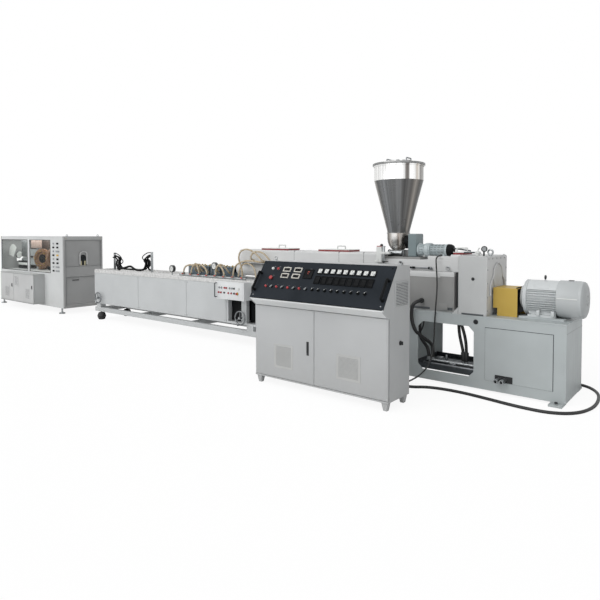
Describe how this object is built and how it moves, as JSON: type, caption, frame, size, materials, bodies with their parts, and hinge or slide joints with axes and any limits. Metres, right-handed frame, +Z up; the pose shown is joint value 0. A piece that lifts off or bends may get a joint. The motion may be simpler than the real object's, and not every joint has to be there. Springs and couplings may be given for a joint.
{
  "type": "plastic extrusion line",
  "caption": "Plastic extrusion line: hopper-fed extruder on a welded base, console cabinet, sizing table with hoses and valves, and an enclosed haul-off with a saw.",
  "frame": {"origin": "floor level under the middle of the line, cables left out", "axes": "+X along the line towards the drive end, +Y away from the operator, +Z up"},
  "size_m": [12.45, 2.1574, 2.514],
  "materials": {
    "base_paint": "satin machine grey",
    "tray_steel": "dull sheet steel",
    "pipe_steel": "plumbing fittings",
    "hose_rubber": "black rubber hose",
    "motor_paint": "grey motor enamel",
    "coupling_steel": "primed coupling",
    "guard_yellow": "safety yellow",
    "gearbox_paint": "light grey enamel",
    "cover_paint": "grey enamel",
    "bellows_dark": "dark ribbed rubber",
    "bonnet_paint": "pale grey enamel",
    "die_steel": "turned tool steel",
    "hopper_steel": "brushed stainless steel",
    "feeder_paint": "blue-grey enamel",
    "vacuum_white": "white enamel and zinc pipe",
    "cabinet_paint": "light grey powder coat",
    "console_dark": "dark laminate with black handles",
    "instrument_plastic": "moulded instruments",
    "table_paint": "pale blue-grey enamel",
    "table_steel": "stainless top",
    "foot_rubber": "black rubber mount",
    "wheel_chrome": "chromed handwheel",
    "calibrator_steel": "blue-grey steel blocks",
    "hose_tan": "tan water hose",
    "haul_paint": "pale grey enamel",
    "window_glass": "clear sheet",
    "saw_bronze": "brown enamel",
    "track_rubber": "grey track blocks",
    "roller_yellow": "yellow nylon rollers",
    "level_steel": "plated levelling feet",
    "cable_black": "black cable sheath"
  },
  "bodies": {
    "line": {"base_side_plates": "base_paint", "base_deck": "base_paint", "base_cross_plates": "base_paint", "access_covers": "base_paint", "base_foot_pads": "base_paint", "base_floor_tray": "tray_steel", "water_pipework": "pipe_steel", "water_manifold": "pipe_steel", "window_hoses": "hose_rubber", "motor_frame": "motor_paint", "motor_fan_cowl": "motor_paint", "drive_coupling": "coupling_steel", "coupling_guard": "guard_yellow", "gearbox_housing": "gearbox_paint", "barrel_cover": "cover_paint", "cover_bellows": "bellows_dark", "barrel_bonnet": "bonnet_paint", "bonnet_vent_lids": "bonnet_paint", "die_head": "die_steel", "hopper_shell": "hopper_steel", "hopper_lid": "hopper_steel", "feeder_trough": "hopper_steel", "feeder_gearbox": "feeder_paint", "feeder_motor": "feeder_paint", "vacuum_pipe": "vacuum_white", "cabinet_sides": "cabinet_paint", "cabinet_back": "cabinet_paint", "cabinet_top_and_floor": "cabinet_paint", "cabinet_front_frame": "cabinet_paint", "cabinet_feet": "cabinet_paint", "console_panel": "console_dark", "console_instruments": "instrument_plastic", "table_body": "table_paint", "table_panels": "table_paint", "table_rails": "table_paint", "table_control_box": "table_paint", "table_top": "table_steel", "guide_plates": "table_steel", "table_feet": "foot_rubber", "calibrators": "calibrator_steel", "water_hoses": "hose_tan", "haul_off_end_panels": "haul_paint", "haul_off_roof_and_deck": "haul_paint", "haul_off_back_panel": "haul_paint", "haul_off_front_frame": "haul_paint", "switch_cabinet": "haul_paint", "haul_off_windows": "window_glass", "saw_ring": "saw_bronze", "pulling_tracks": "track_rubber", "inlet_rollers": "roller_yellow", "haul_off_feet": "level_steel", "floor_cable": "cable_black", "feeder_cable": "cable_black"},
    "left_cabinet_door": {"cabinet_door_left": "cabinet_paint"},
    "right_cabinet_door": {"cabinet_door_right": "cabinet_paint"},
    "left_switch_door": {"switch_door_left": "haul_paint"},
    "right_switch_door": {"switch_door_right": "haul_paint"},
    "left_handwheel": {"handwheel_left": "wheel_chrome"},
    "right_handwheel": {"handwheel_right": "wheel_chrome"}
  },
  "joints": [
    {"name": "left_cabinet_door_hinge", "type": "hinge", "parent": "line", "child": "left_cabinet_door", "pos_m": [3.2205, -0.94582, 0.47], "axis": [0, 0, -1], "range_deg": [0, 110]},
    {"name": "right_cabinet_door_hinge", "type": "hinge", "parent": "line", "child": "right_cabinet_door", "pos_m": [4.8395, -0.94582, 0.47], "axis": [0, 0, 1], "range_deg": [0, 110]},
    {"name": "left_switch_door_hinge", "type": "hinge", "parent": "line", "child": "left_switch_door", "pos_m": [-5.5925, -0.07982, 0.464], "axis": [0, 0, -1], "range_deg": [0, 90]},
    {"name": "right_switch_door_hinge", "type": "hinge", "parent": "line", "child": "right_switch_door", "pos_m": [-4.93, -0.07982, 0.464], "axis": [0, 0, -1], "range_deg": [0, 90]},
    {"name": "left_handwheel_turn", "type": "hinge", "parent": "line", "child": "left_handwheel", "pos_m": [-1.9955, 0.19818, 0.418], "axis": [0, 1, 0], "continuous": true},
    {"name": "right_handwheel_turn", "type": "hinge", "parent": "line", "child": "right_handwheel", "pos_m": [1.7855, 0.20418, 0.408], "axis": [0, 1, 0], "continuous": true}
  ]
}
